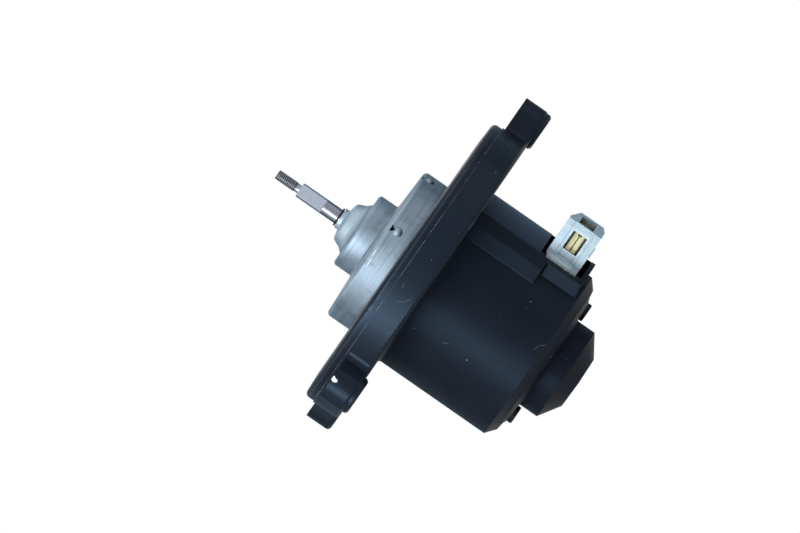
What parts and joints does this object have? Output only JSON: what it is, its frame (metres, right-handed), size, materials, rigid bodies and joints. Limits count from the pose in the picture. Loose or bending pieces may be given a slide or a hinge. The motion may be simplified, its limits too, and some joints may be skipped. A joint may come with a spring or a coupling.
{
  "type": "car cabin blower motor",
  "caption": "Flanged cabin blower motor with three mounting lugs, a motor cup with a rear dome, a drawn steel can, a flatted and threaded shaft, and a white two-way connector.",
  "frame": {"origin": "on the shaft's axis, in the seam between the flange and its cover, where the spigot begins", "axes": "+Z along the shaft, towards its threaded end; +Y towards the single upper lug; +X completes the right-handed frame"},
  "size_m": [0.125, 0.1415, 0.1375],
  "materials": {
    "black_plastic": "satin moulded",
    "zinc_steel": "zinc plated, drawn",
    "bright_steel": "ground",
    "spring_steel": "polished",
    "black_steel": "black coated",
    "core_steel": "stamped laminations",
    "bronze": "sintered",
    "brass": "bare",
    "copper": "enamelled",
    "ferrite": "ground ceramic",
    "carbon": "pressed carbon",
    "card": "laminate",
    "insulation": "smooth",
    "black_ring": "smooth",
    "washer_plastic": "smooth",
    "white_plastic": "milky, satin"
  },
  "bodies": {
    "stator": {"housing": "black_plastic", "flange_cover": "black_plastic", "motor_can": "zinc_steel", "front_bearing": "bronze", "front_retainer": "spring_steel", "magnet_left": "ferrite", "magnet_right": "ferrite", "magnet_springs": "spring_steel", "end_plate": "zinc_steel", "rear_bearing": "bronze", "rear_retainer": "spring_steel", "brush_card": "card", "brush_box_left": "brass", "brush_box_right": "brass", "brush_spring_left": "spring_steel", "brush_spring_right": "spring_steel", "lead_front": "insulation", "lead_back": "insulation", "connector_housing": "white_plastic", "terminal_front": "brass", "terminal_back": "brass", "motor_screws": "black_steel"},
    "rotor": {"shaft": "bright_steel", "oil_slinger": "black_ring", "thrust_washers": "washer_plastic", "armature_core": "core_steel", "armature_windings": "copper", "commutator": "copper"},
    "brush_left_slider": {"brush_left": "carbon"},
    "brush_right_slider": {"brush_right": "carbon"}
  },
  "joints": [
    {"name": "rotor_spin", "type": "hinge", "parent": "stator", "child": "rotor", "pos_m": [0, 0, 0], "axis": [0, 0, 1], "continuous": true},
    {"name": "brush_left_slide", "type": "slide", "parent": "stator", "child": "brush_left_slider", "axis": [-0.5736, 0.8192, 0], "range_m": [0, 0.002], "stiffness_N_per_m": 50, "springref_m": -0.001, "deforming": ["brush_spring_left"]},
    {"name": "brush_right_slide", "type": "slide", "parent": "stator", "child": "brush_right_slider", "axis": [0.5736, -0.8192, 0], "range_m": [0, 0.002], "stiffness_N_per_m": 50, "springref_m": -0.001, "deforming": ["brush_spring_right"]}
  ]
}
